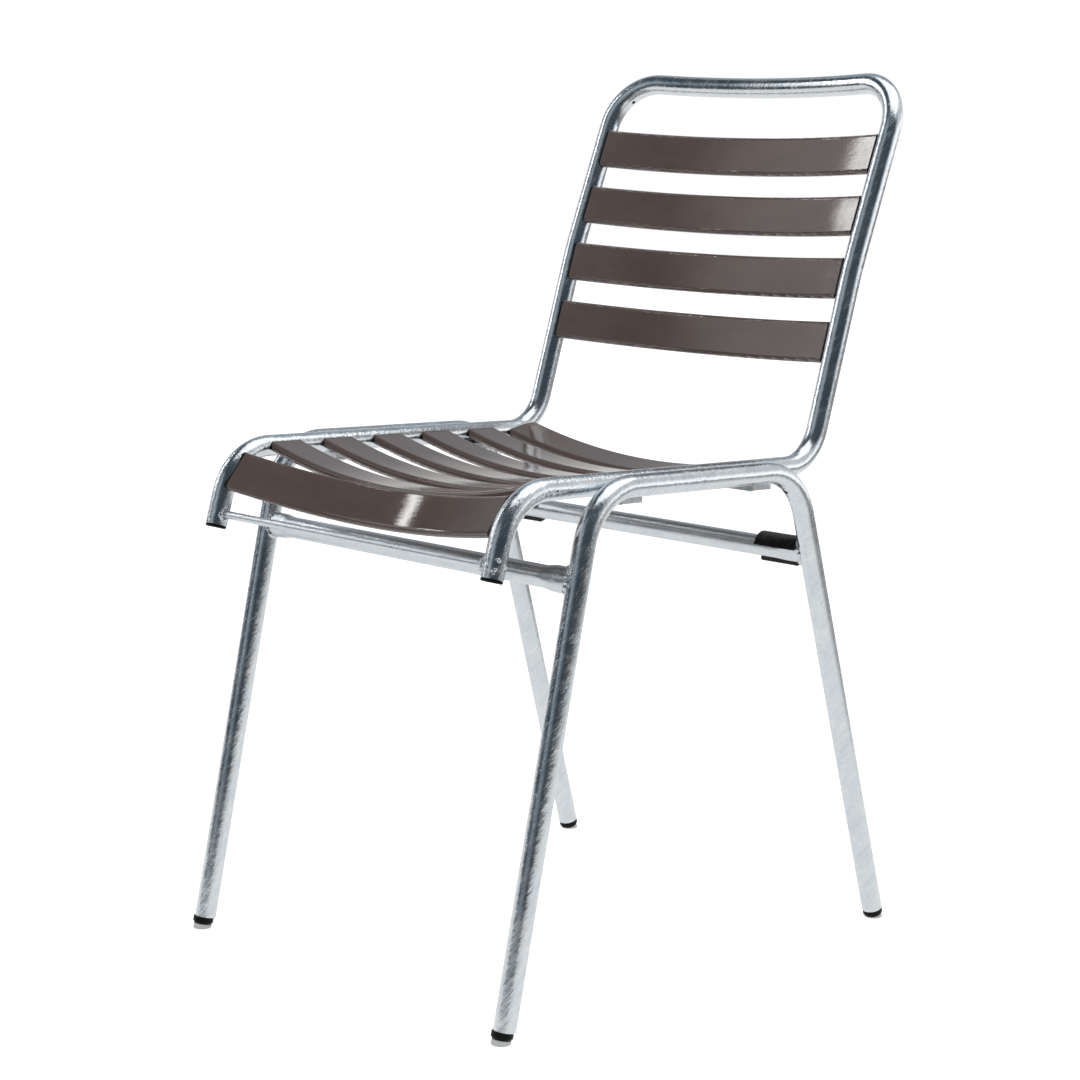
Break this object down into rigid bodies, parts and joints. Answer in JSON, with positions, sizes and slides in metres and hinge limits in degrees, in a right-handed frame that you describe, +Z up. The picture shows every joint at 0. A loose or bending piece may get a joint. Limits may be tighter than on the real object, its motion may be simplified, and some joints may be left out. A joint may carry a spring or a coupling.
{
  "type": "bistro chair",
  "caption": "Stackable metal bistro chair with a bent tube frame, bowed hollow slats for seat and back, ribbed stacking bumpers and capped feet.",
  "frame": {"origin": "on the floor, below the middle of the bounding box", "axes": "+Z up; the chair faces -Y; +X is the sitter's left"},
  "size_m": [0.4378, 0.5784, 0.8296],
  "materials": {
    "galvanised_steel": "hot-dip galvanised, spangled and slightly streaky",
    "screw_steel": "zinc plated",
    "brown_slats": "glossy grey-brown",
    "black_plastic": "satin black",
    "black_rubber": "ribbed black rubber",
    "glide_pads": "pale grey"
  },
  "bodies": {
    "root": {"seat_back_frame": "galvanised_steel", "leg_frame_left": "galvanised_steel", "leg_frame_right": "galvanised_steel", "front_cross_tube": "galvanised_steel", "rear_cross_tube": "galvanised_steel", "front_tie_rod": "galvanised_steel", "frame_bracket_front_left": "galvanised_steel", "frame_bracket_front_right": "galvanised_steel", "frame_bracket_rear_left": "galvanised_steel", "frame_bracket_rear_right": "galvanised_steel", "seat_slat_lugs": "galvanised_steel", "back_slat_lugs": "galvanised_steel", "bracket_screws": "screw_steel", "seat_slat_1": "brown_slats", "seat_slat_2": "brown_slats", "seat_slat_3": "brown_slats", "seat_slat_4": "brown_slats", "seat_slat_5": "brown_slats", "seat_slat_6": "brown_slats", "seat_slat_7": "brown_slats", "back_slat_1": "brown_slats", "back_slat_2": "brown_slats", "back_slat_3": "brown_slats", "back_slat_4": "brown_slats", "seat_slat_end_plugs": "black_plastic", "back_slat_end_plugs": "black_plastic", "front_end_plug_left": "black_plastic", "front_end_plug_right": "black_plastic", "foot_insert_front_left": "black_plastic", "foot_insert_front_right": "black_plastic", "foot_insert_rear_left": "black_plastic", "foot_insert_rear_right": "black_plastic", "foot_glide_front_left": "glide_pads", "foot_glide_front_right": "glide_pads", "foot_glide_rear_left": "glide_pads", "foot_glide_rear_right": "glide_pads", "stacking_bumper_left": "black_rubber", "stacking_bumper_right": "black_rubber"}
  },
  "joints": []
}
